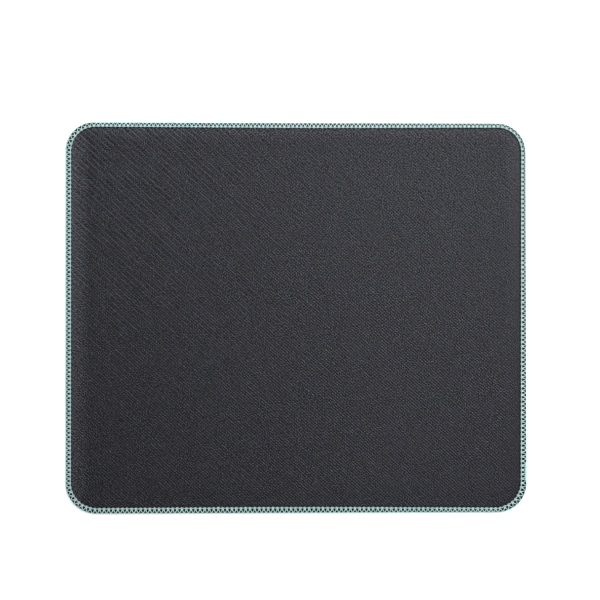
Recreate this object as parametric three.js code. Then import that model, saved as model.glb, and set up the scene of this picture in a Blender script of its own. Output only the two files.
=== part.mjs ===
// Mouse pad: cloth bonded to a foam rubber base, with a three-thread overlock seam round the edge.
// Millimetres, +Z up. The origin is the middle of the underside, and +X runs along the longer side.
import * as THREE from "three";

// Plan of the pad, measured over the stitching.
const PAD_LENGTH = 250;
const PAD_WIDTH = 212;
const CORNER_RADIUS = 16;

// Layers of the flat middle, from the underside up.
const RUBBER_THICKNESS = 2.5;
const FILM_THICKNESS = 0.1;
const CLOTH_THICKNESS = 0.4;

// The seam squeezes the foam: rubber left under the needle line, and at the cut edge.
const RUBBER_AT_NEEDLE = 1.1;
const RUBBER_AT_CUT = 0.7;

// Seam lines, measured inwards from the outside of the stitching.
const CUT_INSET = 0.6;
const NEEDLE_INSET = 2.7;

// Width over which the face rolls down to the seam, and the underside rolls up to it.
const FACE_SHOULDER = 3;
const UNDERSIDE_SHOULDER = 1.5;

// Threads.
const THREAD_DIAMETER = 0.45;
const STITCH_PITCH = 2.37;
const THREAD_CLEARANCE = 0.08;
const DESK_CLEARANCE = 0.05;

// Facets.
const CORNER_STEPS = 12;
const FACE_SHOULDER_STEPS = 4;
const UNDERSIDE_SHOULDER_STEPS = 2;
const NEEDLE_SIDES = 6;

const QUARTER_TURN = Math.PI / 2;
const SIDES = [0, 1, 2, 3];

const threadRadius = THREAD_DIAMETER / 2;
const faceHeight = RUBBER_THICKNESS + FILM_THICKNESS + CLOTH_THICKNESS;

// Plan
// A station is a place on the edge: a point of the inner rectangle that the corner arcs turn about, and
// the direction from it to the outside. Stations run anticlockwise, seen from above.

const straightX = PAD_LENGTH - 2 * CORNER_RADIUS;
const straightY = PAD_WIDTH - 2 * CORNER_RADIUS;

// The two ends of a side of the inner rectangle. Side 0 is the front, and runs towards +X.
function sideEnds(side) {
  const corners = [
    new THREE.Vector2(-straightX / 2, -straightY / 2),
    new THREE.Vector2(straightX / 2, -straightY / 2),
    new THREE.Vector2(straightX / 2, straightY / 2),
    new THREE.Vector2(-straightX / 2, straightY / 2),
  ];
  return [corners[side], corners[(side + 1) % corners.length]];
}

// The direction that a side faces.
function sideAngle(side) {
  return (side - 1) * QUARTER_TURN;
}

// Stations that draw the outline: the straight sides have none but their ends.
function outlineStations() {
  return SIDES.flatMap((side) => {
    const [, centre] = sideEnds(side);
    return Array.from({ length: CORNER_STEPS + 1 }, (_, step) => ({
      centre,
      angle: sideAngle(side) + (step / CORNER_STEPS) * QUARTER_TURN,
    }));
  });
}

// The station that lies a distance along the needle line from the start of the front side.
function stationAt(distance) {
  const turnRadius = CORNER_RADIUS - NEEDLE_INSET;
  let left = distance;
  for (const side of SIDES) {
    const [from, to] = sideEnds(side);
    const straight = from.distanceTo(to);
    if (left < straight) {
      return { centre: from.clone().lerp(to, left / straight), angle: sideAngle(side) };
    }
    left -= straight;
    if (left < turnRadius * QUARTER_TURN) {
      return { centre: to, angle: sideAngle(side) + left / turnRadius };
    }
    left -= turnRadius * QUARTER_TURN;
  }
  return stationAt(left);
}

// A point of the pad, by its station, its distance in from the outside and its height.
function edgePoint(station, inset, height) {
  const reach = CORNER_RADIUS - inset;
  return new THREE.Vector3(
    station.centre.x + reach * Math.cos(station.angle),
    station.centre.y + reach * Math.sin(station.angle),
    height,
  );
}

// Seam section

const needleLength = 2 * (straightX + straightY) + 4 * QUARTER_TURN * (CORNER_RADIUS - NEEDLE_INSET);
const stitchCount = Math.round(needleLength / STITCH_PITCH);
const stitchLength = needleLength / stitchCount;

// A looper thread zigzags between a line of tips at the edge and a line under the needle thread. A tip
// is mitred, so it reaches further than the thread's radius.
const zigzagSpan = NEEDLE_INSET - THREAD_DIAMETER;
const zigzagAngle = Math.atan2(stitchLength / 2, zigzagSpan);
const tipReach = threadRadius / Math.sin(zigzagAngle);
const outerTip = tipReach;
const innerTip = outerTip + zigzagSpan;
const seamInside = innerTip + tipReach;

// Heights of the squeezed stack under the inner tips and at the cut edge.
const underNeedle = DESK_CLEARANCE + THREAD_DIAMETER + THREAD_CLEARANCE;
const overNeedle = underNeedle + RUBBER_AT_NEEDLE + FILM_THICKNESS + CLOTH_THICKNESS;
const seamMiddle = (underNeedle + overNeedle) / 2;
const cutHalf = (RUBBER_AT_CUT + FILM_THICKNESS + CLOTH_THICKNESS) / 2;

// Height on a straight slope from the cut edge in under the inner tips.
function slope(inset, atCut, atNeedle) {
  return THREE.MathUtils.lerp(atCut, atNeedle, (inset - CUT_INSET) / (innerTip - CUT_INSET));
}

function seamTop(inset) {
  return slope(inset, seamMiddle + cutHalf, overNeedle);
}

function seamBottom(inset) {
  return slope(inset, seamMiddle - cutHalf, underNeedle);
}

// The rounded roll from the inside of the seam to a flat of the given height.
function shoulder(width, from, to, steps) {
  return Array.from({ length: steps }, (_, index) => {
    const share = (index + 1) / steps;
    return {
      inset: seamInside + share * width,
      height: THREE.MathUtils.lerp(from, to, Math.sin(share * QUARTER_TURN)),
    };
  });
}

// The section of the pad's upper surface, from the cut edge inwards.
const upperProfile = [
  { inset: CUT_INSET, height: seamTop(CUT_INSET) },
  { inset: seamInside, height: seamTop(seamInside) },
  ...shoulder(FACE_SHOULDER, seamTop(seamInside), faceHeight, FACE_SHOULDER_STEPS),
];

// The section of its underside, from the cut edge inwards.
const lowerProfile = [
  { inset: CUT_INSET, height: seamBottom(CUT_INSET) },
  { inset: seamInside, height: seamBottom(seamInside) },
  ...shoulder(UNDERSIDE_SHOULDER, seamBottom(seamInside), 0, UNDERSIDE_SHOULDER_STEPS),
];

function lowered(profile, depth) {
  return profile.map(({ inset, height }) => ({ inset, height: height - depth }));
}

// Skins

// Triangles between each ring of points and the next, facing out.
function wallTriangles(ringCount, ringSize, wraps) {
  const triangles = [];
  const walls = wraps ? ringCount : ringCount - 1;
  for (let ring = 0; ring < walls; ring++) {
    const here = ring * ringSize;
    const next = ((ring + 1) % ringCount) * ringSize;
    for (let point = 0; point < ringSize; point++) {
      const after = (point + 1) % ringSize;
      triangles.push(here + point, next + point, next + after);
      triangles.push(here + point, next + after, here + after);
    }
  }
  return triangles;
}

// Flat lids on the first and last ring.
function lidTriangles(ringCount, ringSize) {
  const triangles = [];
  const last = (ringCount - 1) * ringSize;
  for (let point = 1; point < ringSize - 1; point++) {
    triangles.push(0, point, point + 1);
    triangles.push(last, last + point + 1, last + point);
  }
  return triangles;
}

function skinOf(rings, triangles) {
  const geometry = new THREE.BufferGeometry().setFromPoints(rings.flat());
  geometry.setIndex(triangles);
  geometry.computeVertexNormals();
  return geometry;
}

// A sheet between an upper and a lower section, with a wall at the cut edge.
function sheetGeometry(upper, lower) {
  const stations = outlineStations();
  const rings = [...upper.toReversed(), ...lower].map(({ inset, height }) =>
    stations.map((station) => edgePoint(station, inset, height)),
  );
  const walls = wallTriangles(rings.length, stations.length, false);
  return skinOf(rings, [...walls, ...lidTriangles(rings.length, stations.length)]);
}

// A thread that runs round the pad and meets itself.
function threadGeometry(rings) {
  return skinOf(rings, wallTriangles(rings.length, rings[0].length, true));
}

// Pieces

function rubberBase() {
  return sheetGeometry(lowered(upperProfile, CLOTH_THICKNESS + FILM_THICKNESS), lowerProfile);
}

function bondingFilm() {
  const top = lowered(upperProfile, CLOTH_THICKNESS);
  return sheetGeometry(top, lowered(top, FILM_THICKNESS));
}

function clothFace() {
  return sheetGeometry(upperProfile, lowered(upperProfile, CLOTH_THICKNESS));
}

// A looper thread is three-sided, flat against the pad, with its ridge on the side that facing points
// to: 1 for up and -1 for down. Its outer tips come after a share of a stitch.
function looperThread(surface, facing, outerShare) {
  const clearOf = (inset) => surface(inset) + facing * THREAD_CLEARANCE;
  const seated = (station, inset) => edgePoint(station, inset, clearOf(inset));
  const section = (station, inset) => [
    edgePoint(station, inset, clearOf(inset) + facing * THREAD_DIAMETER),
    seated(station, inset + facing * tipReach),
    seated(station, inset - facing * tipReach),
  ];
  const rings = [];
  for (let stitch = 0; stitch < stitchCount; stitch++) {
    const start = (stitch + outerShare) * stitchLength;
    rings.push(section(stationAt(start), outerTip));
    rings.push(section(stationAt(start + stitchLength / 2), innerTip));
  }
  return threadGeometry(rings);
}

// The needle thread lies over the inner tips of the upper looper thread and holds them down.
function needleThread() {
  const height = overNeedle + THREAD_DIAMETER + 2 * THREAD_CLEARANCE + threadRadius;
  const rings = outlineStations().map((station) =>
    Array.from({ length: NEEDLE_SIDES }, (_, side) => {
      const turn = (side / NEEDLE_SIDES) * 4 * QUARTER_TURN;
      const inset = NEEDLE_INSET + threadRadius * Math.sin(turn);
      return edgePoint(station, inset, height + threadRadius * Math.cos(turn));
    }),
  );
  return threadGeometry(rings);
}

// Assembly

const pad = new THREE.Group();

function addPiece(name, geometry, color, roughness) {
  const material = new THREE.MeshStandardMaterial({ color, roughness, metalness: 0 });
  const piece = new THREE.Mesh(geometry, material);
  piece.name = name;
  pad.add(piece);
}

addPiece("rubber_base", rubberBase(), 0x1e1f22, 0.9);
addPiece("bonding_film", bondingFilm(), 0xb9b29a, 0.6);
addPiece("cloth_face", clothFace(), 0x3b3c41, 0.95);
addPiece("needle_thread", needleThread(), 0xbfe0d8, 0.7);
addPiece("upper_looper_thread", looperThread(seamTop, 1, 0), 0xbfe0d8, 0.7);
addPiece("lower_looper_thread", looperThread(seamBottom, -1, 0.5), 0xbfe0d8, 0.7);

export default pad;
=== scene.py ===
"""Looks of the mouse pad: woven cloth on foam rubber, bound with a three-thread overlock seam."""
import math

import bpy
import numpy as np
from mathutils import Euler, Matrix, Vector
from mathutils.geometry import delaunay_2d_cdt


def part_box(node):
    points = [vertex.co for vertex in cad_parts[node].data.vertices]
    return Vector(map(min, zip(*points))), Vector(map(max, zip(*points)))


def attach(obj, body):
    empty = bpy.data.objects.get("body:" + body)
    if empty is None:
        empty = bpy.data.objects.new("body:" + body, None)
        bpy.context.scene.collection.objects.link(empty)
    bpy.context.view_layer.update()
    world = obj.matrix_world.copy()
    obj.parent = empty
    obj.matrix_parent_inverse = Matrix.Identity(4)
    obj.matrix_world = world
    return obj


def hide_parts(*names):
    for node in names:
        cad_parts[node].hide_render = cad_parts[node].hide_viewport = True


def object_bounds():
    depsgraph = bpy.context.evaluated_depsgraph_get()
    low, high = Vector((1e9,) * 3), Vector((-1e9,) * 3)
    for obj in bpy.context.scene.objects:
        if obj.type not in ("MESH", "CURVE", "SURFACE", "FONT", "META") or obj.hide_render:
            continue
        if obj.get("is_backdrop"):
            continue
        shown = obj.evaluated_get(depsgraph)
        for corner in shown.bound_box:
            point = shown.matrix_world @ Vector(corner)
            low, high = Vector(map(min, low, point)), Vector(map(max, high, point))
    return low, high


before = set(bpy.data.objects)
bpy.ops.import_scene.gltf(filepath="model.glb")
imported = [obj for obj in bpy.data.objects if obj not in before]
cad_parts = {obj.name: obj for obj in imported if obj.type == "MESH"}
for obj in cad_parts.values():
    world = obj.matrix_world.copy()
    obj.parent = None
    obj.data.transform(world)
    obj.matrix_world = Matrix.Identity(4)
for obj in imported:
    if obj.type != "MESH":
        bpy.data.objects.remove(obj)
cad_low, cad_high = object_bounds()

MM = 0.001
SEED = 20

# Plan of the pad, over the stitching.
HALF_X = cad_high[0]
HALF_Y = cad_high[1]
CORNER_RADIUS = 16 * MM
STRAIGHT_X = 2 * (HALF_X - CORNER_RADIUS)
STRAIGHT_Y = 2 * (HALF_Y - CORNER_RADIUS)

# Layers of the flat middle.
FACE_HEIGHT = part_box("cloth_face")[1].z
CLOTH_THICKNESS = 0.4 * MM
FILM_THICKNESS = 0.1 * MM

# Seam section: distances in from the outside, and heights of the squeezed stack.
CUT_INSET = 0.4 * MM
NEEDLE_INSET = 2.78 * MM
SEAM_INSIDE = 3.05 * MM
FACE_SHOULDER = 8.0 * MM
UNDERSIDE_SHOULDER = 1.5 * MM
TOP_AT_CUT = 1.70 * MM
TOP_AT_SEAM = 1.95 * MM
CREASE_DEPTH = 0.3 * MM
CREASE_WIDTH = 0.45 * MM
BOTTOM_AT_CUT = 0.78 * MM
BOTTOM_AT_SEAM = 0.56 * MM
SEAM_MIDDLE = 1.26 * MM

# Points of the sheets: the step along the edge, shares of the way to the inside of the seam, then steps up
# the shoulder in millimetres. The woven skin has the rows up to the fine step, then a gap and its lattice.
EDGE_STEP = 0.95 * MM
SEAM_SHARES = (0.35, 0.7)
SHOULDER_STEPS = (0.0, 0.25, 0.5, 0.85, 1.4, 2.2, 3.4, 5.0, 8.0)
FINE_STEP = 1.4
WEAVE_GAP = 0.5
RIB_GAP = 0.55 * EDGE_STEP
LATTICE_SPARE = 2

# Stitches. The machine fed the sides a little unevenly, and cut them a little off the line.
STITCH_PITCH = 2.375 * MM
PITCH_EXTRA_FRONT = 0.09 * MM
PITCH_EXTRA_RIGHT = 0.02 * MM
NEEDLE_SHIFT_LEFT = -0.05 * MM
NEEDLE_SHIFT_FRONT = -0.11 * MM
NEEDLE_SHIFT_BACK = -0.33 * MM
NEEDLE_SLOPE_FRONT = 0.0025
NEEDLE_SLOPE_RIGHT = 0.0043
NEEDLE_BOW_FRONT = 0.42 * MM
NEEDLE_BOW_BACK = 0.38 * MM
CORNER_WIDTH = 1.4
CORNER_SLACK = 0.2 * MM
CORNER_SLACK_FRONT = 1.2
CORNER_BULGE = 0.19 * MM
CORNER_SKEW = 0.185 * MM
LOOP_LONGER = 0.25 * MM
LOOP_ON_SIDES = 0.5
LOOP_AT_BACK = 0.25
DRAWN_IN = 0.28 * MM
DRAWN_IN_FRONT = 0.42 * MM
STITCH_SCATTER = 0.02
PITCH_SCATTER = 0.01
JOG_SHARE = 0.8
EDGE_LINE_INSET = 0.10 * MM
EDGE_PULL_BACK = 0.02 * MM

# The seam is joined on the right side, where the end of the chain lies over the stitches.
TAIL_START = -79.0 * MM
TAIL_END = -89.0 * MM
TAIL_INSET = 0.85 * MM
TAIL_HEIGHT = 2.4 * MM
TAIL_TURN = 1.9 * MM
TAIL_SWING = 0.3 * MM
TAIL_LIFT = 0.15 * MM
TAIL_POINTS = 41

# Threads: three plies, so the section has three lobes and three valleys. The flatter side faces the middle of
# the seam, for a looper at its core's inset or further in, for the needle thread a little outside the thread.
THREAD_CORNERS = 6
LOOPER_LOBE = 0.212 * MM
LOOPER_VALLEY = 0.162 * MM
LOOPER_CORE_INSET = 0.95 * MM
NEEDLE_LOBE = 0.28 * MM
NEEDLE_VALLEY = 0.22 * MM
NEEDLE_CORE_OUT = 0.5 * MM
THREAD_FLATTENING = 0.78
TWIST_LENGTH = 2.0 * MM
SLUB_SIZE = 0.05
SLUB_RINGS = 9
SEAM_PATH_STEPS = 2
TAIL_PATH_STEPS = 3

# Bake maps, in shares of the map or of a row of it.
MAP_MARGIN = 0.005
MAP_TOP = 0.99
MAP_ROWS = 44
MAP_ROW_SLACK = 1.001
MAP_ROW_WIDTH = 0.98
MAP_ROW_START = 0.1
MAP_ROW_HEIGHT = 0.8

# Half a stitch of each looper: share of a stitch along the seam, share of the way from the edge line to
# the needle line, height in millimetres, and how full the thread is. The other half mirrors it. The fluffy
# thread swells where it lies loose, and is thin where it is pulled.
UPPER_HALF = (
    (-0.500, 0.00, 1.05, 1.00),
    (-0.410, 0.00, 1.28, 1.10),
    (-0.405, 0.02, 1.76, 1.25),
    (-0.392, 0.12, 2.00, 1.36),
    (-0.368, 0.27, 2.06, 1.03),
    (-0.255, 0.44, 2.10, 0.86),
    (-0.138, 0.61, 2.13, 1.22),
    (-0.120, 0.78, 2.16, 1.34),
    (-0.132, 0.95, 2.12, 1.22),
    (-0.110, 1.08, 2.04, 0.90),
    (0.000, 1.13, 1.99, 0.90),
)
LOWER_HALF = (
    (-0.500, 1.28, 0.25, 1.00),
    (-0.395, 0.98, 0.28, 1.00),
    (-0.365, 0.66, 0.34, 1.00),
    (-0.275, 0.29, 0.42, 1.00),
    (-0.255, 0.14, 0.50, 1.00),
    (-0.245, 0.02, 0.85, 1.00),
    (-0.240, 0.00, 1.36, 1.00),
    (-0.190, 0.03, 1.75, 1.00),
    (-0.080, 0.070, 1.93, 1.10),
    (0.000, 0.082, 1.95, 1.12),
)

# A stitch of the needle thread: share of a stitch along the seam, distance in from the needle line in
# millimetres, how far it is drawn in over the loop, and height in millimetres. It rides over the looper's
# legs, dives at the hole and loops underneath.
NEEDLE_STITCH = (
    (0.030, 0.00, 0.75, 1.70),
    (0.055, 0.00, 0.75, 2.24),
    (0.130, 0.00, 0.65, 2.54),
    (0.320, 0.00, 0.00, 2.50),
    (0.500, 0.00, -0.25, 2.46),
    (0.680, 0.00, 0.00, 2.50),
    (0.870, 0.00, 0.65, 2.54),
    (0.945, 0.00, 0.75, 2.24),
    (0.970, 0.00, 0.75, 1.70),
    (0.965, 0.03, 0.50, 1.20),
    (0.955, 0.06, 0.0, 0.55),
    (0.900, 0.13, 0.0, 0.35),
    (0.820, 0.10, 0.0, 0.31),
    (0.800, -0.02, 0.0, 0.31),
    (0.830, -0.13, 0.0, 0.31),
    (0.930, -0.14, 0.0, 0.35),
    (1.020, -0.06, 0.0, 0.55),
    (1.035, -0.03, 0.50, 1.20),
)

# Cloth weave: two families of yarn lines, by the direction across them and their spacing.
ROW_ANGLE = math.radians(48.0)
ROW_SPACING = 1.26 * MM
CROSS_ANGLE = math.radians(-48.5)
CROSS_SPACING = 1.308 * MM
WEAVE_DEPTH = 0.06 * MM
WEAVE_ALTERNATION = 0.12
WEAVE_SCATTER = 0.08

# Underside of the rubber: a raised grid of fine diagonal ribs.
RIB_ANGLE = math.radians(45)
RIB_SPACING = 2.0 * MM
RIB_DEPTH = 0.16 * MM

# Regions of the face: from where a change towards a side starts to where it is full.
RIGHT_CHANGE = (-100 * MM, 60 * MM)
BACK_CHANGE = (-60 * MM, 90 * MM)
RIGHT_EDGE_CHANGE = (50 * MM, 100 * MM)

# How the look of the weave changes over the face: a start, and what is added in each region.
KNOT_STRAY = (0.0, {"right back": 0.45})
KNOT_NARROWNESS = (16.0, {"left back": -8.0})
KNOT_SHORTNESS = (1.8, {"right": 1.2, "right back": 5.0})
KNOT_LEAN = (1.0, {"right": 4.0})
KNOT_STRENGTH = (0.82, {"back": 0.10, "right": 0.36, "right back": -0.08, "right edge": -0.10})
SECOND_ROW_FAINTNESS = (0.15, {"left back": 0.45})
STRETCH_CONTRAST = (0.2, {"left back": 0.35})
FLUFF = (2.8, {"right": -0.3, "right back": -0.4})
# Painted shade: the cloth's colour is darker towards the front and the left front.
LIGHT_CHANGES = {"front": -0.08, "left front": -0.06}

# Other looks of the weave: chances, shares and scales of noise.
DRIFT_SCALE = 90.0
DRIFT = 0.4
KNOT_SCATTER = 0.16
SPECK_SHARE = 0.02
SPECK_STRENGTH = 0.7
STRETCH_OFFSET = 0.37
STRETCHES_PER_KNOT = 0.22
FIBRE_SCALE = 1900.0
FLAT_KNOT_LOSS = 0.6
FLAT_LEVEL = 0.33
# Painted light and shade: the knot heights at which the cloth's colour is darkest and lightest, and how much
# the filaments lighten it.
LIT_HEIGHTS = (0.20, 1.16)
FILAMENTS = 7.0
FILAMENT_WAVER = 0.1
FILAMENT_LIGHT = 0.35
FILAMENT_HEIGHT = 0.1

# Loops from the front half to the back half, then strips along the edge: two places, and the value at each.
FRONT_LOOPS = (-10 * MM, 10 * MM, LOOP_LONGER, 0.0)
PULLED_FLAT = (4.0 * MM, 13.0 * MM, 1.0, 0.0)
UNDER_THREADS = (3.0 * MM, 3.5 * MM, 1.0, 0.0)
# Painted light: strips where the cloth is paler, along the left side, the back and the long sides.
PAINTED_LIGHT_LEFT = (4.0 * MM, 13.0 * MM, 1.0, 0.0)
PAINTED_LIGHT_BACK = (4.0 * MM, 9.0 * MM, 0.45, 0.0)
PAINTED_LIGHT_LONG_SIDES = (4.0 * MM, 11.0 * MM, 0.25, 0.0)

# Colours.
WHITE = (1, 1, 1, 1)
# Painted shade: the near-black colour that the cloth takes in the hollows between its knots, against the
# raised colour of their lit tops.
CLOTH_HOLLOW_SHADE = (0.0006, 0.0006, 0.0012, 1)
CLOTH_RAISED = (0.058, 0.0588, 0.0735, 1)
# Painted light on the cloth along its edges.
CLOTH_PAINTED_LIGHT = (0.178, 0.180, 0.210, 1)
CLOTH_SHADED = (0.0002, 0.014, 0.0125, 1)
CLOTH_GLEAM = (0.905, 0.915, 1.0, 1)
MINT_SHADE = (0.43, 0.90, 0.84, 1)
MINT_PALE = (0.90, 1.0, 0.99, 1)
TAIL_SHADE = (0.38, 0.82, 0.72, 1)
TAIL_PALE = (0.66, 0.98, 0.89, 1)
NEEDLE_SHADE = (0.38, 0.51, 0.53, 1)
NEEDLE_PALE = (0.57, 0.72, 0.74, 1)
RUBBER_DARK = (0.009, 0.0095, 0.011, 1)
RUBBER_LIGHT = (0.016, 0.0165, 0.0185, 1)
FILM_CLEAR = (0.10, 0.095, 0.07, 1)
FILM_CLOUDY = (0.20, 0.19, 0.14, 1)
FLOOR_GREY = (0.8, 0.8, 0.8, 1)

# Surfaces: roughness, either one value or a range of heights with the value at each end, then how strongly
# the surface reflects, and the depth of its bumps.
CLOTH_ROUGHNESS = (0.0, 0.9, 0.56, 0.22)
CLOTH_SPECULAR = 0.14
CLOTH_BUMP = 0.05 * MM
THREAD_ROUGHNESS = 0.55
THREAD_SPECULAR = 0.4
THREAD_BUMP = 0.03 * MM
RUBBER_ROUGHNESS = (0.3, 0.7, 0.62, 0.85)
RUBBER_SPECULAR = 0.35
RUBBER_BUMP = 0.05 * MM
FILM_ROUGHNESS = 0.5
FILM_SPECULAR = 0.5

# Noise in the threads, the rubber and the film. The fibres of a thread are drawn out along its strand.
FIBRE_STRETCH = (0.5, 14.0, 1.0)
THREAD_FIBRES = {"scale": 3.0, "detail": 3.0, "roughness": 0.6}
THREAD_SHADES = {"scale": 420.0}
THREAD_FIBRE_SHARE = 0.6
RUBBER_GRAIN = {"scale": 2600.0, "detail": 3.0, "roughness": 0.6}
RUBBER_CELLS = {"scale": 500.0}
FILM_CLOUDS = {"scale": 300.0, "detail": 3.0}

# Stage. Each lamp has a name, a place, what it aims at, a size and a power.
FLOOR_HALF = 4.0
FLOOR_DROP = 0.05 * MM
FLOOR_GLOW = 0.7
WORLD_LIGHT = 0.26
LAMPS = (
    ("softbox", (0.32, 0.30, 0.78), (0.0, 0.0, 0.0), 0.35, 8.5),
    ("side softbox", (-0.58, 0.15, 0.6), (-0.05, 0.0, 0.0), 0.3, 0.72),
)

# Camera, almost straight above. Its turn is in degrees.
CAMERA_HEIGHT = 0.9
CAMERA_PLACE = (-23.92 * MM, -1.75 * MM, CAMERA_HEIGHT + SEAM_MIDDLE)
CAMERA_TURN = (0.716, -1.631, -0.0527)
CAMERA_LENS = 99.63
CAMERA_SENSOR = 36

# Sockets of a mix node that are for colours.
MIX_FIRST = 6
MIX_SECOND = 7
MIX_RESULT = 2

rng = np.random.default_rng(SEED)


# Plan of the edge
def edge_frame(distance):
    """Centres and outward angles of places along the needle line, from the left end of the front side."""
    turn_radius = CORNER_RADIUS - NEEDLE_INSET
    sides = np.array([STRAIGHT_X, STRAIGHT_Y, STRAIGHT_X, STRAIGHT_Y])
    starts = np.concatenate([[0.0], np.cumsum(sides + turn_radius * math.pi / 2)])
    corner_x = np.array([-1, 1, 1, -1]) * STRAIGHT_X / 2
    corner_y = np.array([-1, -1, 1, 1]) * STRAIGHT_Y / 2
    travel_x = np.array([1, 0, -1, 0])
    travel_y = np.array([0, 1, 0, -1])
    place = np.mod(distance, starts[-1])
    side = np.clip(np.searchsorted(starts, place, side="right") - 1, 0, 3)
    along = place - starts[side]
    straight = np.minimum(along, sides[side])
    bend = (along - straight) / turn_radius
    centre_x = corner_x[side] + travel_x[side] * straight
    centre_y = corner_y[side] + travel_y[side] * straight
    return centre_x, centre_y, (side - 1) * math.pi / 2 + bend


def edge_angle(distance):
    """The direction that the edge faces at places along the needle line."""
    return edge_frame(distance)[2]


def edge_length():
    """Length of the needle line."""
    turn_radius = CORNER_RADIUS - NEEDLE_INSET
    return 2 * (STRAIGHT_X + STRAIGHT_Y) + 2 * math.pi * turn_radius


def edge_points(distance, inset, height):
    """Points along the edge, each a distance in from the outside and at a height."""
    centre_x, centre_y, angle = edge_frame(distance)
    reach = CORNER_RADIUS - inset
    x = centre_x + reach * np.cos(angle)
    y = centre_y + reach * np.sin(angle)
    return np.stack([x, y, np.broadcast_to(height, x.shape)], axis=1)


def past_corner_centres(plan):
    """How far places lie beyond the centres of the corners, along and across the pad."""
    x, y = plan.T
    return np.abs(x) - STRAIGHT_X / 2, np.abs(y) - STRAIGHT_Y / 2


def inset_of(plan):
    """Distance in from the outside of the stitching."""
    past_x, past_y = past_corner_centres(plan)
    beyond = np.hypot(np.maximum(past_x, 0), np.maximum(past_y, 0))
    return CORNER_RADIUS - beyond - np.minimum(np.maximum(past_x, past_y), 0)


def spot_of(plan):
    """A spot: the direction that the nearest edge faces, and the place itself."""
    x, y = plan.T
    past_x, past_y = past_corner_centres(plan)
    rounded = (past_x > 0) & (past_y > 0)
    out_x = np.where(rounded, past_x, past_x > past_y)
    out_y = np.where(rounded, past_y, past_x <= past_y)
    return np.arctan2(np.sign(y) * out_y, np.sign(x) * out_x), x, y


def seam_spot(distance):
    """A spot on the needle line."""
    x, y, _ = edge_points(distance, NEEDLE_INSET, 0.0).T
    return edge_angle(distance), x, y


def on_corner(angle):
    """0 on the straight sides, 1 in the middle of a corner."""
    return np.minimum(CORNER_WIDTH * np.abs(np.sin(2 * angle)), 1)


def needle_shift(spot):
    """How far the needle line lies further in than it should: it drifts along the sides and cuts corners."""
    angle, x, y = spot
    to_front = np.maximum(-np.sin(angle), 0)
    to_back = np.maximum(np.sin(angle), 0)
    to_right = np.maximum(np.cos(angle), 0)
    bowed = np.cos(math.pi / 2 * x / HALF_X) ** 2
    shift = -NEEDLE_SHIFT_LEFT * np.cos(angle)
    shift = shift + (NEEDLE_SHIFT_FRONT + NEEDLE_BOW_FRONT * bowed - NEEDLE_SLOPE_FRONT * x) * to_front
    shift = shift + (NEEDLE_SHIFT_BACK + NEEDLE_BOW_BACK * bowed) * to_back
    shift = shift - NEEDLE_SLOPE_RIGHT * y * to_right
    return shift + CORNER_SLACK * on_corner(angle) * (1 - CORNER_SLACK_FRONT * np.sin(angle))


def corner_bulge(angle):
    """How far corner stitches stand out past the plan: most at the left back, inside it at the left front."""
    return CORNER_BULGE * on_corner(angle) * np.sin(angle) - CORNER_SKEW * np.sin(2 * angle)


def cut_inset(spot):
    """Where the sheets are cut, under the stitches."""
    return CUT_INSET - corner_bulge(spot[0])


def seam_inside(spot):
    """Where the cloth comes out from under the stitches. The loops are longer along the front and back."""
    return SEAM_INSIDE + needle_shift(spot) + LOOP_LONGER * np.sin(spot[0]) ** 2


def rolled(inset, spot, at_cut, at_seam, flat, shoulder, crease):
    """Height of a surface that slopes up from the cut edge, and rolls from a crease up to a flat."""
    cut = cut_inset(spot)
    inside = seam_inside(spot)
    past = inset - inside
    slope = at_cut + (at_seam - at_cut) * (inset - cut) / (inside - cut)
    left = np.clip(1 - past / shoulder, 0, 1)
    roll = flat + (at_seam + crease - flat) * left**2 - crease * np.exp(-((past / CREASE_WIDTH) ** 2))
    return np.where(past < 0, slope, roll)


def face_height(inset, spot):
    return rolled(inset, spot, TOP_AT_CUT, TOP_AT_SEAM, FACE_HEIGHT, FACE_SHOULDER, CREASE_DEPTH)


def underside_height(inset, spot):
    return rolled(inset, spot, BOTTOM_AT_CUT, BOTTOM_AT_SEAM, 0.0, UNDERSIDE_SHOULDER, 0.0)


# Meshes
def new_piece(name, points, faces):
    mesh = bpy.data.meshes.new(name)
    mesh.from_pydata([tuple(point) for point in points], [], [tuple(face) for face in faces])
    mesh.validate()
    mesh.update()
    mesh.polygons.foreach_set("use_smooth", [True] * len(mesh.polygons))
    piece = bpy.data.objects.new(name, mesh)
    bpy.context.scene.collection.objects.link(piece)
    return piece


def ring_faces(first, second, count):
    """Quads between two rings of points, given by where they start."""
    here = np.arange(count)
    after = (here + 1) % count
    return np.stack([first + here, second + here, second + after, first + after], axis=1).tolist()


def across(angle, spacing):
    """The direction across a family of lines, as long as there are lines to a metre."""
    return math.cos(angle) / spacing, math.sin(angle) / spacing


def lattice(row_angle, row_spacing, cross_angle, cross_spacing, subdivisions):
    """Points on a lattice of two line families, with each cell subdivided alike."""
    steps = np.linalg.inv(np.array([across(row_angle, row_spacing), across(cross_angle, cross_spacing)]))
    reach = int(math.hypot(HALF_X, HALF_Y) / min(row_spacing, cross_spacing)) + LATTICE_SPARE
    whole = np.arange(-reach, reach + 1)
    phases = []
    for u, v in subdivisions:
        grid = np.meshgrid(whole + u, whole + v, indexing="ij")
        phases.append(np.stack(grid, axis=-1).reshape(-1, 2))
    return np.concatenate(phases) @ steps.T


def triangulated(ring, inner):
    """Plan points of a ring and of what lies inside it, and triangles over them that face up."""
    count = len(ring)
    edges = [(index, (index + 1) % count) for index in range(count)]
    points = [Vector((x, y)) for x, y in np.concatenate([ring, inner])]
    inside_only = 1
    merge_distance = 1e-9
    result = delaunay_2d_cdt(points, edges, [], inside_only, merge_distance)
    return np.array([(point.x, point.y) for point in result[0]]), result[2]


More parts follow.
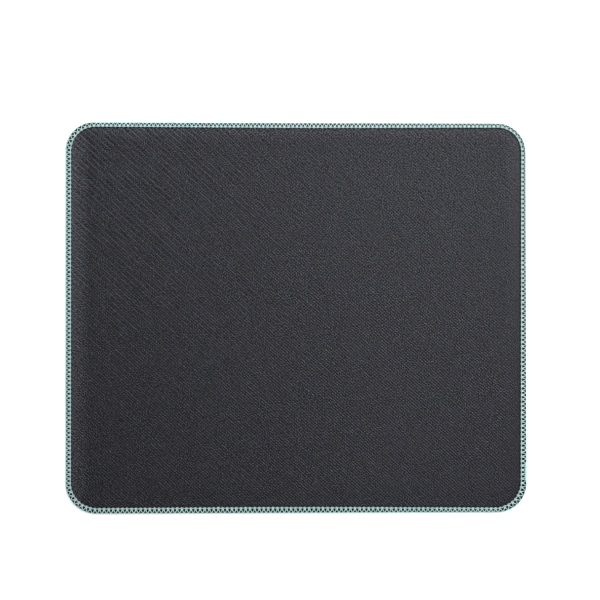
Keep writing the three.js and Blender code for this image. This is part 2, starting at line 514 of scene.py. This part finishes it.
def planar_map(piece, is_main):
    """A bake map: faces of the main skin from straight above, and the hidden rest in a strip beside it."""
    mesh = piece.data
    vertex = np.zeros(len(mesh.loops), np.int32)
    mesh.loops.foreach_get("vertex_index", vertex)
    place = np.zeros(len(mesh.vertices) * 3, np.float32)
    mesh.vertices.foreach_get("co", place)
    place = place.reshape(-1, 3)[vertex]
    totals = np.zeros(len(mesh.polygons), np.int32)
    mesh.polygons.foreach_get("loop_total", totals)
    main = np.repeat(is_main, totals)
    u = (place[:, 0] + HALF_X) / (2 * HALF_X)
    v = (place[:, 1] + HALF_Y) / (2 * HALF_X)
    strip_start = HALF_Y / HALF_X + MAP_MARGIN
    v = np.where(main, v, strip_start + v * (MAP_TOP - strip_start))
    layer = mesh.uv_layers.new(name="OFBake")
    layer.data.foreach_set("uv", np.stack([u, v], axis=1).astype(np.float32).ravel())


# Sheets
edge_count = int(round(edge_length() / EDGE_STEP))
edge_places = np.arange(edge_count) * edge_length() / edge_count
edge_spots = seam_spot(edge_places)


def edge_ring(inset, height):
    return edge_points(edge_places, inset, height)


def section_insets():
    """Rows of points along the edge, by how far in they lie."""
    cut = cut_inset(edge_spots)
    inside = seam_inside(edge_spots)
    rows = [cut]
    rows += [cut + (inside - cut) * share for share in SEAM_SHARES]
    rows += [inside + step * MM for step in SHOULDER_STEPS]
    return rows


def sheet_piece(name, skin, skin_height, plain_height, skin_on_top):
    """A closed sheet. One side is a fine skin of points, the other is rows along the edge and a flat."""
    plan, triangles = triangulated(edge_ring(cut_inset(edge_spots), 0.0)[:, :2], skin)
    points = [np.column_stack([plan, skin_height(plan, inset_of(plan), spot_of(plan))])]
    faces = [list(face) if skin_on_top else list(face)[::-1] for face in triangles]
    main_count = len(faces)
    previous = 0
    start = len(plan)
    for inset in section_insets():
        points.append(edge_ring(inset, plain_height(inset, edge_spots)))
        order = (previous, start) if skin_on_top else (start, previous)
        faces += ring_faces(*order, edge_count)
        previous = start
        start += edge_count
    cap = list(range(previous, previous + edge_count))
    faces.append(cap[::-1] if skin_on_top else cap)
    piece = new_piece(name, np.concatenate(points), faces)
    planar_map(piece, np.arange(len(piece.data.polygons)) < main_count)
    return piece


def weave_height(plan, inset, spot):
    """Height of the woven skin. Its points lie on the yarn rows and halfway between them."""
    half_row = np.round(2 * (plan @ np.array([math.cos(ROW_ANGLE), math.sin(ROW_ANGLE)])) / ROW_SPACING)
    on_peak = np.where(half_row % 2 == 0, 0.5, -0.5)
    alternate = np.where(half_row % 4 == 0, WEAVE_ALTERNATION, -WEAVE_ALTERNATION)
    strength = np.clip((inset - seam_inside(spot)) / MM - FINE_STEP, 0, 1)
    scatter = rng.normal(0, WEAVE_SCATTER, len(plan))
    return face_height(inset, spot) + WEAVE_DEPTH * strength * (on_peak + alternate - 0.5 + scatter)


def rib_height(plan, inset, spot):
    """Height of the underside, with hollows between the ribs."""
    ribs = np.array([across(RIB_ANGLE, RIB_SPACING), across(-RIB_ANGLE, RIB_SPACING)])
    phase = plan @ ribs.T
    hollow = np.sin(math.pi * phase[:, 0]) ** 2 * np.sin(math.pi * phase[:, 1]) ** 2
    strength = np.clip((inset - seam_inside(spot)) / UNDERSIDE_SHOULDER, 0, 1)
    return underside_height(inset, spot) + RIB_DEPTH * strength * hollow


def cloth_sheet():
    place = lattice(ROW_ANGLE, ROW_SPACING, CROSS_ANGLE, CROSS_SPACING, ((0, 0), (0.5, 0.5)))
    woven = place[inset_of(place) > seam_inside(spot_of(place)) + (FINE_STEP + WEAVE_GAP) * MM]
    fine_rows = len(SEAM_SHARES) + SHOULDER_STEPS.index(FINE_STEP) + 1
    rows = [edge_ring(inset, 0.0)[:, :2] for inset in section_insets()[1:fine_rows + 1]]
    return sheet_piece(
        "cloth_face_weave",
        np.concatenate(rows + [woven]),
        weave_height,
        lambda inset, spot: face_height(inset, spot) - CLOTH_THICKNESS,
        True,
    )


def rubber_sheet():
    half_steps = ((0, 0), (0.5, 0), (0, 0.5), (0.5, 0.5))
    place = lattice(RIB_ANGLE, RIB_SPACING, -RIB_ANGLE, RIB_SPACING, half_steps)
    return sheet_piece(
        "rubber_base_ribbed",
        place[inset_of(place) > cut_inset(spot_of(place)) + RIB_GAP],
        rib_height,
        lambda inset, spot: face_height(inset, spot) - CLOTH_THICKNESS - FILM_THICKNESS,
        False,
    )


def film_sheet():
    """The adhesive film between the cloth and the rubber."""
    insets = section_insets()
    points = []
    faces = []
    start = 0
    for depth, order in ((CLOTH_THICKNESS, insets[::-1]), (CLOTH_THICKNESS + FILM_THICKNESS, insets)):
        for inset in order:
            points.append(edge_ring(inset, face_height(inset, edge_spots) - depth))
            if start:
                faces += ring_faces(start - edge_count, start, edge_count)
            start += edge_count
    faces.append(list(range(edge_count)))
    faces.append(list(range(start - edge_count, start))[::-1])
    piece = new_piece("bonding_film_sheet", np.concatenate(points), faces)
    planar_map(piece, np.ones(len(piece.data.polygons), bool))
    return piece


cloth = cloth_sheet()
rubber = rubber_sheet()
film = film_sheet()


# Stitches
def stitch_places():
    """Where each needle hole lies along the seam."""
    places = []
    place = 0.0
    while place < edge_length():
        places.append(place)
        angle = edge_angle(np.array([place]))[0]
        pitch = STITCH_PITCH - PITCH_EXTRA_FRONT * math.sin(angle) + PITCH_EXTRA_RIGHT * math.cos(angle)
        place += pitch * (1 + rng.normal(0, PITCH_SCATTER))
    return np.array(places) * edge_length() / place


holes = stitch_places()
stitch_count = len(holes)


def needle_inset(distance):
    return NEEDLE_INSET + needle_shift(seam_spot(distance))


def along_seam(stitch):
    """Distance along the seam of a number of stitches, whole or not."""
    lap = np.floor(stitch / stitch_count)
    knots = np.append(holes, edge_length())
    return np.interp(stitch - lap * stitch_count, np.arange(stitch_count + 1), knots) + lap * edge_length()


def mirrored(half):
    """A whole stitch from its first half."""
    return list(half) + [(-point[0], *point[1:]) for point in half[-2:0:-1]]


def all_round(stitch):
    """The points of one stitch repeated round the seam: the number of the stitch, and each column."""
    index = np.repeat(np.arange(stitch_count), len(stitch))
    return index, *np.tile(np.array(stitch), (stitch_count, 1)).T


# Threads
def smooth_path(controls, steps):
    """A closed path through the control points, with tangents that suit their spacing."""
    after = np.roll(controls, -1, axis=0)
    chord = np.linalg.norm(after - controls, axis=1)[:, None]
    before_chord = np.roll(chord, 1, axis=0)
    rise = (after - controls) / chord
    before_rise = np.roll(rise, 1, axis=0)
    tangent = (rise * before_chord + before_rise * chord) / (chord + before_chord)
    next_tangent = np.roll(tangent, -1, axis=0)
    rows = []
    for step in range(steps):
        t = step / steps
        rows.append(
            (2 * t**3 - 3 * t**2 + 1) * controls
            + (t**3 - 2 * t**2 + t) * chord * tangent
            + (3 * t**2 - 2 * t**3) * after
            + (t**3 - t**2) * chord * next_tangent
        )
    return np.stack(rows, axis=1).reshape(-1, 3)


def unit(vectors):
    return vectors / np.linalg.norm(vectors, axis=1, keepdims=True)


def slubs(rings):
    """How a soft thread swells and thins along its length."""
    window = np.ones(SLUB_RINGS) / math.sqrt(SLUB_RINGS)
    chances = rng.normal(0, 1, rings + SLUB_RINGS - 1)
    return 1 + SLUB_SIZE * np.convolve(chances, window, "valid")


def thread_faces(rings, closed):
    """Quads round a thread from ring to ring, and caps on the ends where it isn't closed."""
    ring = np.arange(rings if closed else rings - 1)
    after = (ring + 1) % rings
    strips = []
    for corner in range(THREAD_CORNERS):
        beside = (corner + 1) % THREAD_CORNERS
        quad = ((ring, corner), (after, corner), (after, beside), (ring, beside))
        strips.append(np.stack([at * THREAD_CORNERS + place for at, place in quad], axis=1))
    faces = np.stack(strips, axis=1).reshape(-1, 4).tolist()
    if not closed:
        faces.append(list(range(THREAD_CORNERS)))
        faces.append([THREAD_CORNERS * rings - 1 - corner for corner in range(THREAD_CORNERS)])
    return faces


def thread_piece(name, controls, cores, steps, lobe, valley, full=None, closed=True):
    """A twisted three-ply thread swept along a path. Its flatter side faces the cores."""
    path = smooth_path(controls, steps)
    core = smooth_path(cores, steps)
    if closed:
        ahead = np.roll(path, -1, axis=0) - path
        tangent = unit(np.roll(path, -1, axis=0) - np.roll(path, 1, axis=0))
    else:
        path = path[:1 - steps]
        core = core[:1 - steps]
        ahead = np.diff(path, axis=0)
        tangent = unit(np.gradient(path, axis=0))
    out = path - core
    out = unit(out - tangent * np.sum(out * tangent, axis=1, keepdims=True))
    side = np.cross(tangent, out)
    rings = len(path)
    run = np.concatenate([[0.0], np.cumsum(np.linalg.norm(ahead, axis=1))])
    turns = max(1, round(run[-1] / TWIST_LENGTH))
    phase = 2 * math.pi * turns * run[:rings] / run[-1]
    swelling = slubs(rings)
    if full is not None:
        round_again = np.append(full, full[0])
        swelling = swelling * np.interp(np.arange(rings) / steps, np.arange(len(full) + 1), round_again)
    points = np.zeros((rings, THREAD_CORNERS, 3))
    for corner in range(THREAD_CORNERS):
        radius = (lobe if corner % 2 == 0 else valley) * swelling
        turn = phase + corner * 2 * math.pi / THREAD_CORNERS
        points[:, corner] = (
            path
            + out * (THREAD_FLATTENING * radius * np.cos(turn))[:, None]
            + side * (radius * np.sin(turn))[:, None]
        )
    piece = new_piece(name, points.reshape(-1, 3), thread_faces(rings, closed))
    strand_maps(piece, run)
    return piece


def strand_maps(piece, run):
    """A map that runs along and round the thread, and a bake map that stacks it in rows."""
    start = np.repeat(run[:-1], THREAD_CORNERS)
    end = np.repeat(run[1:], THREAD_CORNERS)
    corner = np.tile(np.arange(THREAD_CORNERS), len(run) - 1)
    u = np.stack([start, end, end, start], axis=1)
    v = np.stack([corner, corner, corner + 1, corner + 1], axis=1) / THREAD_CORNERS
    row_length = run[-1] * MAP_ROW_SLACK / MAP_ROWS
    row = np.floor(start / row_length)
    bake_u = (u - (row * row_length)[:, None]) / row_length * MAP_ROW_WIDTH + MAP_MARGIN
    bake_v = (row[:, None] + MAP_ROW_START + MAP_ROW_HEIGHT * v) / MAP_ROWS
    caps = np.zeros(2 * len(piece.data.loops) - 2 * u.size, np.float32)
    for name, along, up in (("strand", u / MM, v), ("OFBake", bake_u, bake_v)):
        layer = piece.data.uv_layers.new(name=name)
        corners = np.stack([along, up], axis=2).astype(np.float32).ravel()
        layer.data.foreach_set("uv", np.concatenate([corners, caps]))


def looper_thread(name, half):
    """A looper's thread all round the seam, with each stitch a little off its place."""
    stitch = mirrored(half)
    index, share, reach, height, full = all_round(stitch)
    jog = np.repeat(rng.normal(0, STITCH_SCATTER, stitch_count), len(stitch))
    pull = np.repeat(rng.normal(0, STITCH_SCATTER, stitch_count), len(stitch))
    distance = along_seam(index + share) + jog * STITCH_PITCH * np.clip(reach, 0, 1) * JOG_SHARE
    angle = edge_angle(distance)
    to_back = np.maximum(np.sin(angle), 0)
    edge = EDGE_LINE_INSET + EDGE_PULL_BACK * to_back - corner_bulge(angle)
    longer = LOOP_ON_SIDES + (1 - LOOP_ON_SIDES) * np.sin(angle) ** 2
    short_reach = np.minimum(reach, 1) ** (1 - LOOP_AT_BACK * to_back)
    reach = np.where(reach > 1, 1 + (reach - 1) * longer, short_reach)
    inset = edge + (needle_inset(distance) - edge) * reach * (1 + pull * np.clip(reach, 0, 1))
    controls = edge_points(distance, inset, height * MM)
    cores = edge_points(distance, np.maximum(inset, LOOPER_CORE_INSET), SEAM_MIDDLE)
    return thread_piece(name, controls, cores, SEAM_PATH_STEPS, LOOPER_LOBE, LOOPER_VALLEY, full)


def needle_thread():
    """The needle's thread all round the seam, drawn in over the loops of the upper looper."""
    index, share, shift, drawn, height = all_round(NEEDLE_STITCH)
    distance = along_seam(index + share)
    to_front = np.maximum(-np.sin(edge_angle(distance)), 0)
    drawn_in = DRAWN_IN + (DRAWN_IN_FRONT - DRAWN_IN) * to_front
    inset = needle_inset(distance) + shift * MM + drawn * drawn_in
    controls = edge_points(distance, inset, height * MM)
    cores = edge_points(distance, inset - NEEDLE_CORE_OUT, SEAM_MIDDLE)
    return thread_piece("needle_thread_twist", controls, cores, SEAM_PATH_STEPS, NEEDLE_LOBE, NEEDLE_VALLEY)


def thread_tail(name, side):
    """A strand of the end of the thread chain, which lies over the stitches with its two tips tucked in."""
    y = np.linspace(TAIL_START, TAIL_END, TAIL_POINTS)
    turn = 2 * math.pi * (y - TAIL_START) / TAIL_TURN
    x = HALF_X - TAIL_INSET - side * TAIL_SWING * np.sin(turn)
    height = TAIL_HEIGHT + side * TAIL_LIFT * np.cos(turn)
    height[[0, -1]] -= 2 * TAIL_LIFT
    controls = np.column_stack([x, y, height])
    cores = np.column_stack([x, y, np.full(len(y), SEAM_MIDDLE)])
    return thread_piece(name, controls, cores, TAIL_PATH_STEPS, LOOPER_LOBE, LOOPER_VALLEY, closed=False)


upper = looper_thread("upper_looper_twist", UPPER_HALF)
lower = looper_thread("lower_looper_twist", LOWER_HALF)
needle = needle_thread()
tails = [thread_tail("thread_tail_left", 1), thread_tail("thread_tail_right", -1)]


# Node graphs
def put(socket, given):
    """Links a value to a socket, or sets the socket to a constant."""
    if isinstance(given, Value):
        given.tree.links.new(given.socket, socket)
    else:
        socket.default_value = given


def math_node(tree, operation, *given):
    made = tree.nodes.new("ShaderNodeMath")
    made.operation = operation
    for socket, value in zip(made.inputs, given):
        put(socket, value)
    return Value(made.outputs[0])


class Value:
    """An output in a node graph. Arithmetic with it makes math nodes."""

    def __init__(self, socket):
        self.socket = socket
        self.tree = socket.id_data

    def math(self, operation, *others):
        return math_node(self.tree, operation, self, *others)

    def __add__(self, other):
        return self.math("ADD", other)

    def __sub__(self, other):
        return self.math("SUBTRACT", other)

    def __rsub__(self, other):
        return math_node(self.tree, "SUBTRACT", other, self)

    def __mul__(self, other):
        return self.math("MULTIPLY", other)

    def __mod__(self, other):
        return self.math("FLOORED_MODULO", other)

    def __gt__(self, other):
        return self.math("GREATER_THAN", other)

    def __abs__(self):
        return self.math("ABSOLUTE")

    def __round__(self):
        return self.math("ROUND")

    __radd__ = __add__
    __rmul__ = __mul__


class Graph:
    """A procedural material, built node by node."""

    def __init__(self, name):
        self.material = bpy.data.materials.new(name)
        self.material.use_nodes = True
        self.tree = self.material.node_tree
        self.tree.nodes.clear()
        self.shader = self.tree.nodes.new("ShaderNodeBsdfPrincipled")
        output = self.tree.nodes.new("ShaderNodeOutputMaterial")
        self.tree.links.new(self.shader.outputs[0], output.inputs["Surface"])

    def node(self, kind, **values):
        made = self.tree.nodes.new(kind)
        for name, value in values.items():
            put(made.inputs[name], value)
        return made

    def place(self):
        return Value(self.tree.nodes.new("ShaderNodeTexCoord").outputs["Object"])

    def split(self, vector):
        """The three numbers of a vector or a colour."""
        return [Value(output) for output in self.node("ShaderNodeSeparateXYZ", Vector=vector).outputs]

    def noise(self, vector, scale, detail=2.0, roughness=0.5, dimensions="3D"):
        made = self.node("ShaderNodeTexNoise", Vector=vector, Scale=scale, Detail=detail, Roughness=roughness)
        made.noise_dimensions = dimensions
        return Value(made.outputs["Fac"])

    def chance(self, **cell):
        """A number and a colour by chance, the same all over a cell, which is given by its numbers."""
        corner = Value(self.node("ShaderNodeCombineXYZ", **cell).outputs[0])
        dice = self.node("ShaderNodeTexWhiteNoise", Vector=corner).outputs
        return Value(dice["Value"]), Value(dice["Color"])

    def dot(self, vector, direction):
        made = self.tree.nodes.new("ShaderNodeVectorMath")
        made.operation = "DOT_PRODUCT"
        put(made.inputs[0], vector)
        put(made.inputs[1], direction)
        return Value(made.outputs["Value"])

    def ranged(self, value, low, high, to_low=0.0, to_high=1.0):
        """A value carried over from one range to another, and held at its ends."""
        made = self.tree.nodes.new("ShaderNodeMapRange")
        for socket, given in zip(made.inputs, (value, low, high, to_low, to_high)):
            put(socket, given)
        return Value(made.outputs[0])

    def tint(self, factor, first, second):
        """A mix of two colours."""
        made = self.tree.nodes.new("ShaderNodeMix")
        made.data_type = "RGBA"
        put(made.inputs["Factor"], factor)
        put(made.inputs[MIX_FIRST], first)
        put(made.inputs[MIX_SECOND], second)
        return Value(made.outputs[MIX_RESULT])

    def surface(self, colour, roughness, specular, height=None, depth=0.0):
        """Sets the shader, with bumps where there is a height, and gives the material."""
        put(self.shader.inputs["Base Color"], colour)
        put(self.shader.inputs["Roughness"], roughness)
        put(self.shader.inputs["Specular IOR Level"], specular)
        if height is not None:
            bump = self.node("ShaderNodeBump", Strength=1.0, Distance=depth, Height=height)
            put(self.shader.inputs["Normal"], Value(bump.outputs[0]))
        return self.material


# Cloth material
def face_regions(graph, x, y):
    """How far a place lies towards each side or corner of the face, from 0 to 1."""
    right = graph.ranged(x, *RIGHT_CHANGE)
    back = graph.ranged(y, *BACK_CHANGE)
    left = 1 - right
    front = 1 - back
    return {
        "right": right,
        "back": back,
        "front": front,
        "right edge": graph.ranged(x, *RIGHT_EDGE_CHANGE),
        "right back": right * back,
        "left back": left * back,
        "left front": left * front,
    }


def over_face(regions, start, changes):
    """A value that changes over the face: a start, and what is added in each region."""
    value = start
    for region, more in changes.items():
        value = regions[region] * more + value
    return value


def woven_knots(graph, place, regions):
    """Heights of the knots of the weave, and places across the yarn that lies on top."""
    drift = (graph.noise(place, DRIFT_SCALE) - 0.5) * DRIFT
    row = graph.dot(place, (*across(ROW_ANGLE, ROW_SPACING), 0)) + drift
    cross = graph.dot(place, (*across(CROSS_ANGLE, CROSS_SPACING), 0)) + drift
    row_number = round(row)
    cross_number = round(cross)

    # Each knot strays a little from the crossing of its two lines, and leans as its row does.
    chance, chances = graph.chance(X=row_number, Y=cross_number)
    row_chance, speck_chance, cross_chance = graph.split(chances)
    stray = over_face(regions, *KNOT_STRAY)
    off_row = row - row_number + (row_chance - 0.5) * stray
    off_cross = cross - cross_number + (cross_chance - 0.5) * stray
    second = row_number % 2
    lean = (1 - second * 2) * over_face(regions, *KNOT_LEAN)
    spread = off_row * off_row * over_face(regions, *KNOT_NARROWNESS)
    spread = off_cross * off_cross * over_face(regions, *KNOT_SHORTNESS) + spread
    spread = off_row * off_cross * lean + spread
    knot = (spread * -1).math("EXPONENT")

    # Each knot shows a little more or less, second rows are fainter, and a few knots are pale specks.
    strength = chance * KNOT_SCATTER + over_face(regions, *KNOT_STRENGTH)
    strength = strength - second * over_face(regions, *SECOND_ROW_FAINTNESS)
    strength = (speck_chance > 1 - SPECK_SHARE) * SPECK_STRENGTH + strength

    # Rows show in stretches of a few knots.
    stretch = (row_number * STRETCH_OFFSET + cross * STRETCHES_PER_KNOT).math("FLOOR")
    shown, _ = graph.chance(X=row_number, Y=stretch, Z=1.0)
    strength = (shown - 0.5) * over_face(regions, *STRETCH_CONTRAST) + strength

    # The yarn on top lies along the rows on one knot, and across them on the next.
    on_next = (row_number + cross_number) % 2
    return knot * strength, row + on_next * (cross - row)


def cloth_material():
    graph = Graph("woven cloth")
    place = graph.place()
    x, y, _ = graph.split(place)
    regions = face_regions(graph, x, y)
    knots, yarn = woven_knots(graph, place, regions)

    # Along the short sides the cloth is pulled flat, and under the threads it is in their shade.
    inset_x = HALF_X - abs(x)
    inset_y = HALF_Y - abs(y)
    inset = inset_x.math("SMOOTH_MIN", inset_y - graph.ranged(y, *FRONT_LOOPS), CORNER_RADIUS)
    pulled_flat = graph.ranged(inset_x, *PULLED_FLAT)
    under_threads = graph.ranged(inset, *UNDER_THREADS)

    # Fibres break the knots up, and less so where the cloth is flat.
    fibre = graph.noise(place, FIBRE_SCALE, detail=0.0, dimensions="2D") - 0.5
    fluff = over_face(regions, *FLUFF) - pulled_flat
    height = knots * (1 - pulled_flat * FLAT_KNOT_LOSS) + pulled_flat * FLAT_LEVEL
    height = fibre * fluff + height
    # Painted light and shade: the cloth's colour runs from near black in the hollows between the knots to
    # light on their tops.
    # Painted shade: darker towards the front and the left front.
    light = graph.ranged(over_face(regions, height, LIGHT_CHANGES), *LIT_HEIGHTS)

    # Filaments of the yarn: bumps, and painted light and shade along them in the colour.
    filament = ((yarn + fibre * FILAMENT_WAVER) * (2 * math.pi * FILAMENTS)).math("COSINE")
    light = light * (1 + filament * FILAMENT_LIGHT)
    height = filament * FILAMENT_HEIGHT + height

    # Painted light: the cloth is paler along the left side, and a little along the back and the front.
    painted_light_back = graph.ranged(HALF_Y - y, *PAINTED_LIGHT_BACK)
    painted_light = painted_light_back.math("MAXIMUM", graph.ranged(inset_y, *PAINTED_LIGHT_LONG_SIDES))
    painted_light = painted_light.math("MAXIMUM", graph.ranged(HALF_X + x, *PAINTED_LIGHT_LEFT))
    raised = graph.tint(painted_light, CLOTH_RAISED, CLOTH_PAINTED_LIGHT)
    # The knots' painted light and shade goes into the colour here.
    painted_knot_light = graph.tint(light, CLOTH_HOLLOW_SHADE, raised)
    colour = graph.tint(under_threads, painted_knot_light, CLOTH_SHADED)
    roughness = graph.ranged(height, *CLOTH_ROUGHNESS).math("MAXIMUM", under_threads)
    put(graph.shader.inputs["Specular Tint"], CLOTH_GLEAM)
    return graph.surface(colour, roughness, CLOTH_SPECULAR, height, CLOTH_BUMP)


# Other materials
def thread_material(name, shade, pale):
    graph = Graph(name)
    strand = graph.tree.nodes.new("ShaderNodeUVMap")
    strand.uv_map = "strand"
    along = Value(strand.outputs[0])
    drawn_out = graph.node("ShaderNodeMapping", Vector=along, Scale=FIBRE_STRETCH)
    fine = graph.noise(Value(drawn_out.outputs[0]), **THREAD_FIBRES)
    uneven = graph.noise(graph.place(), **THREAD_SHADES)
    tone = fine * THREAD_FIBRE_SHARE + uneven * (1 - THREAD_FIBRE_SHARE)
    colour = graph.tint(tone, shade, pale)
    return graph.surface(colour, THREAD_ROUGHNESS, THREAD_SPECULAR, fine, THREAD_BUMP)


def rubber_material():
    graph = Graph("foam rubber")
    place = graph.place()
    grain = graph.noise(place, **RUBBER_GRAIN)
    cells = graph.noise(place, **RUBBER_CELLS)
    colour = graph.tint(cells, RUBBER_DARK, RUBBER_LIGHT)
    roughness = graph.ranged(grain, *RUBBER_ROUGHNESS)
    return graph.surface(colour, roughness, RUBBER_SPECULAR, grain, RUBBER_BUMP)


def film_material():
    graph = Graph("hot-melt film")
    cloudy = graph.noise(graph.place(), **FILM_CLOUDS)
    return graph.surface(graph.tint(cloudy, FILM_CLEAR, FILM_CLOUDY), FILM_ROUGHNESS, FILM_SPECULAR)


def seen_directly(tree):
    """1 for rays from the camera, reflections and glass, and 0 for light that falls on things."""
    rays = tree.nodes.new("ShaderNodeLightPath").outputs
    seen = Value(rays["Is Camera Ray"])
    for kind in ("Is Glossy Ray", "Is Transmission Ray"):
        seen = seen.math("MAXIMUM", Value(rays[kind]))
    return seen


def floor_material():
    graph = Graph("white floor")
    put(graph.shader.inputs["Emission Color"], WHITE)
    put(graph.shader.inputs["Emission Strength"], seen_directly(graph.tree) * FLOOR_GLOW)
    return graph.surface(FLOOR_GREY, roughness=1.0, specular=0.0)


cloth.data.materials.append(cloth_material())
rubber.data.materials.append(rubber_material())
film.data.materials.append(film_material())
needle.data.materials.append(thread_material("needle thread", NEEDLE_SHADE, NEEDLE_PALE))
mint = thread_material("mint thread", MINT_SHADE, MINT_PALE)
for thread in (upper, lower):
    thread.data.materials.append(mint)
tail_mint = thread_material("tail thread", TAIL_SHADE, TAIL_PALE)
for tail in tails:
    tail.data.materials.append(tail_mint)

# Each piece hangs from the root body in place of its part, which is hidden.
for piece, node, slot in (
    (cloth, "cloth_face", "cloth"),
    (film, "bonding_film", "hot_melt_film"),
    (rubber, "rubber_base", "foam_rubber"),
    (upper, "upper_looper_thread", "thread"),
    (lower, "lower_looper_thread", "thread"),
    (needle, "needle_thread", "thread"),
):
    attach(piece, "root")
    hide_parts(node)
for tail in tails:
    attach(tail, "root")

# Size, corner and area of the cloth, which is cut to the size of the rubber with the same rounded corners.
cut_length = 2 * (HALF_X - CUT_INSET)
cut_width = 2 * (HALF_Y - CUT_INSET)
cut_corner = CORNER_RADIUS - CUT_INSET
cut_area = cut_length * cut_width - (4 - math.pi) * cut_corner**2
film.name


# Stage
def area_lamp(name, place, aim, size, power):
    light = bpy.data.lights.new(name, "AREA")
    light.shape = "DISK"
    light.size = size
    light.energy = power
    lamp = bpy.data.objects.new(name, light)
    bpy.context.scene.collection.objects.link(lamp)
    lamp.location = place
    lamp.rotation_euler = (Vector(aim) - Vector(place)).to_track_quat("-Z", "Y").to_euler()


floor_corners = ((-1, -1), (1, -1), (1, 1), (-1, 1))
floor_points = [(x * FLOOR_HALF, y * FLOOR_HALF, -FLOOR_DROP) for x, y in floor_corners]
floor = new_piece("floor", floor_points, [(0, 1, 2, 3)])
floor.data.materials.append(floor_material())
floor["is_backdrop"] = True

world = bpy.data.worlds.new("studio")
bpy.context.scene.world = world
world.use_nodes = True
background = world.node_tree.nodes["Background"]
put(background.inputs["Color"], WHITE)
put(background.inputs["Strength"], seen_directly(world.node_tree) * (1 - WORLD_LIGHT) + WORLD_LIGHT)

for lamp in LAMPS:
    area_lamp(*lamp)

# Camera
camera_data = bpy.data.cameras.new("camera")
camera_data.lens = CAMERA_LENS
camera_data.sensor_width = CAMERA_SENSOR
camera = bpy.data.objects.new("camera", camera_data)
bpy.context.scene.collection.objects.link(camera)
camera.location = CAMERA_PLACE
turn = [math.radians(angle) for angle in CAMERA_TURN]
camera.rotation_euler = Euler(turn, "ZXY").to_matrix().to_euler()
bpy.context.scene.camera = camera
bpy.context.scene.view_settings.view_transform = "Standard"

size = {"cad": [list(cad_low), list(cad_high)], "scene": [list(corner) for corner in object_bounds()]}
